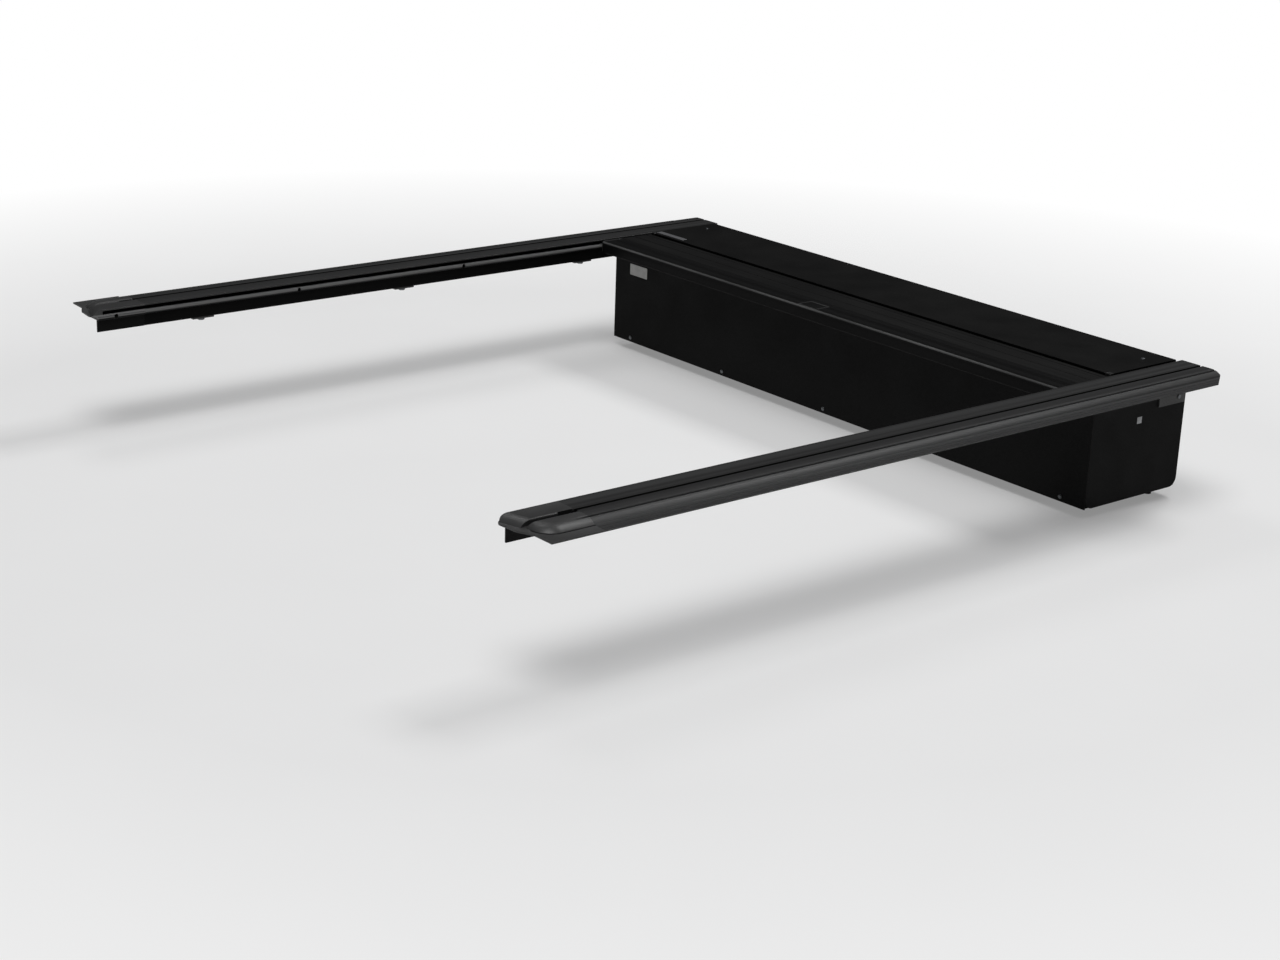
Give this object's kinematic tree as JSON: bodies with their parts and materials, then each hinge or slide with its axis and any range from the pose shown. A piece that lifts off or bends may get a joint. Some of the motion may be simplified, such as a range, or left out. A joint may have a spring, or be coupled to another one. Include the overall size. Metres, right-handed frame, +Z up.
{
  "type": "retractable tonneau cover",
  "caption": "Retractable roll-up cover for a pickup bed: slatted curtain on a spring roller in a canister, sliding in two slotted side rails with a lead slat, latch rods and lock.",
  "frame": {"origin": "mid width, at the front end of the side rails, on the bed-rail seat under the rails", "axes": "+X to the right side of the bed, +Y forward to the bulkhead, +Z up"},
  "size_m": [1.724, 1.695, 0.286],
  "materials": {
    "rail_metal": "black anodised, satin, fine brushed lines along the rail",
    "cap_plastic": "moulded, fine grain",
    "foam": "closed-cell foam tape",
    "clamp_metal": "black anodised",
    "fastener_steel": "black zinc",
    "sheet_metal": "matte black powder coat",
    "lid_metal": "matte black powder coat, fine texture",
    "tab_plastic": "moulded",
    "seal_rubber": "matte rubber",
    "slat_sheet": "matte black slats with fine lines",
    "lead_metal": "black anodised, satin",
    "glide_nylon": "nylon",
    "shaft_steel": "bright drawn",
    "bush_bronze": "sintered bronze",
    "spring_steel": "oil-tempered wire",
    "tube_metal": "mill finish",
    "hub_plastic": "moulded",
    "lock_metal": "satin zinc"
  },
  "bodies": {
    "frame": {"left_rail": "rail_metal", "left_rail_cap": "cap_plastic", "left_rail_foam": "foam", "left_clamps": "clamp_metal", "left_clamp_bolts": "fastener_steel", "left_clamp_nuts": "fastener_steel", "right_rail": "rail_metal", "right_rail_cap": "cap_plastic", "right_rail_foam": "foam", "right_clamps": "clamp_metal", "right_clamp_bolts": "fastener_steel", "right_clamp_nuts": "fastener_steel", "cap_screws": "fastener_steel", "canister_rear_panel": "sheet_metal", "canister_tray": "sheet_metal", "left_end_plate": "sheet_metal", "right_end_plate": "sheet_metal", "panel_rivets": "fastener_steel", "canister_lid": "lid_metal", "lid_screws": "fastener_steel", "left_lid_tab": "tab_plastic", "right_lid_tab": "tab_plastic", "lid_wiper": "seal_rubber", "bulkhead_seal": "seal_rubber", "left_hanger": "clamp_metal", "right_hanger": "clamp_metal", "hanger_bolts": "fastener_steel", "hanger_nuts": "fastener_steel", "left_drain": "seal_rubber", "right_drain": "seal_rubber", "roller_shaft": "shaft_steel", "left_bush": "bush_bronze", "right_bush": "bush_bronze", "torsion_spring": "spring_steel", "spring_anchor": "shaft_steel"},
    "roller": {"roller_tube": "tube_metal", "left_hub": "hub_plastic", "right_hub": "hub_plastic", "spring_plug": "hub_plastic", "curtain_roll": "slat_sheet"},
    "lead": {"lead_slat": "lead_metal", "left_glide": "glide_nylon", "right_glide": "glide_nylon", "lip_seal": "seal_rubber", "latch_housing": "glide_nylon", "housing_screws": "fastener_steel", "rod_guides": "glide_nylon", "lock_tray": "tab_plastic", "flap_pin": "shaft_steel", "curtain_span": "slat_sheet"},
    "crank": {"latch_spindle": "shaft_steel", "latch_handle": "tab_plastic"},
    "left_rod": {"left_latch_rod": "shaft_steel"},
    "right_rod": {"right_latch_rod": "shaft_steel"},
    "flap": {"lock_flap": "tab_plastic"},
    "lock": {"lock_cylinder": "lock_metal"}
  },
  "joints": [
    {"name": "cover_slide", "type": "slide", "parent": "frame", "child": "lead", "axis": [0, -1, 0], "range_m": [0, 1.306], "deforming": ["curtain_span"]},
    {"name": "roller_spin", "type": "hinge", "parent": "frame", "child": "roller", "pos_m": [0, -0.154, -0.07847], "axis": [1, 0, 0], "range_deg": [0, 1023]},
    {"name": "latch_turn", "type": "hinge", "parent": "lead", "child": "crank", "pos_m": [0, -0.332, 0], "axis": [0, 0, -1], "range_deg": [0, 60]},
    {"name": "left_rod_slide", "type": "slide", "parent": "lead", "child": "left_rod", "axis": [-1, 0, 0], "range_m": [0, 0.012]},
    {"name": "right_rod_slide", "type": "slide", "parent": "lead", "child": "right_rod", "axis": [1, 0, 0], "range_m": [0, 0.012]},
    {"name": "flap_hinge", "type": "hinge", "parent": "lead", "child": "flap", "pos_m": [0, -0.3255, 0.0103], "axis": [-1, 0, 0], "range_deg": [0, 85]},
    {"name": "lock_turn", "type": "hinge", "parent": "lead", "child": "lock", "pos_m": [0, -0.3515, 0.008], "axis": [0, 0, 1], "range_deg": [0, 90]}
  ],
  "couplings": [
    {"joint": "roller_spin", "follows": "cover_slide", "rad_per_m": 13.618},
    {"joint": "latch_turn", "follows": "left_rod_slide", "rad_per_m": 87.26},
    {"joint": "right_rod_slide", "follows": "left_rod_slide", "ratio": 1}
  ]
}
